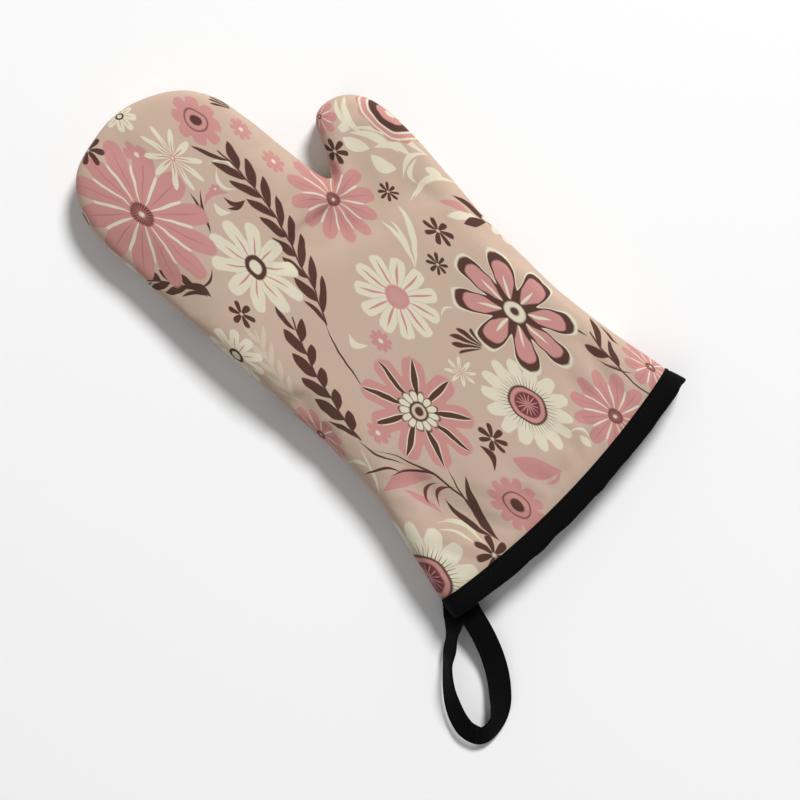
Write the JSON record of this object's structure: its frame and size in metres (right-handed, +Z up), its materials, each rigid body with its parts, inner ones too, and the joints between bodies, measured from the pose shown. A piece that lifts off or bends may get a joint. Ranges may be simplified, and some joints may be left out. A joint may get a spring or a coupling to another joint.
{
  "type": "oven mitt",
  "caption": "Padded thumb-style oven mitt, printed cotton shell over batting and lining, with a black bound cuff and a fabric hanging loop, lying flat.",
  "frame": {"origin": "on the underside of the mitt, at the middle of the wrist, 90 mm from the cuff line", "axes": "+Y from the cuff to the fingertips, +X across to the thumb, +Z up from the table out of the front panel"},
  "size_m": [0.2281, 0.3933, 0.0232],
  "materials": {
    "printed_cotton": "plain-weave cotton, beige ground with a pink, cream and brown flower print",
    "batting": "needled cotton padding",
    "lining_cotton": "plain natural cotton",
    "beige_thread": "spun sewing thread",
    "black_tape": "black cotton twill binding with a faint sheen",
    "black_thread": "black sewing thread"
  },
  "bodies": {
    "mitt": {"front_shell": "printed_cotton", "back_shell": "printed_cotton", "front_batting": "batting", "back_batting": "batting", "front_lining": "lining_cotton", "back_lining": "lining_cotton", "shell_seam_thread": "beige_thread", "lining_seam_thread": "beige_thread", "cuff_binding": "black_tape", "binding_topstitch_front": "black_thread", "binding_topstitch_back": "black_thread", "loop_tails": "black_tape", "loop_bartack": "black_thread"},
    "loop": {"hanging_loop": "black_tape", "loop_edge_stitch": "black_thread"}
  },
  "joints": [
    {"name": "loop_swing", "type": "hinge", "parent": "mitt", "child": "loop", "pos_m": [-0.09188, -0.10608, 0.0116], "axis": [-0.742, 0.6704, 0], "range_deg": [0, 90]}
  ]
}
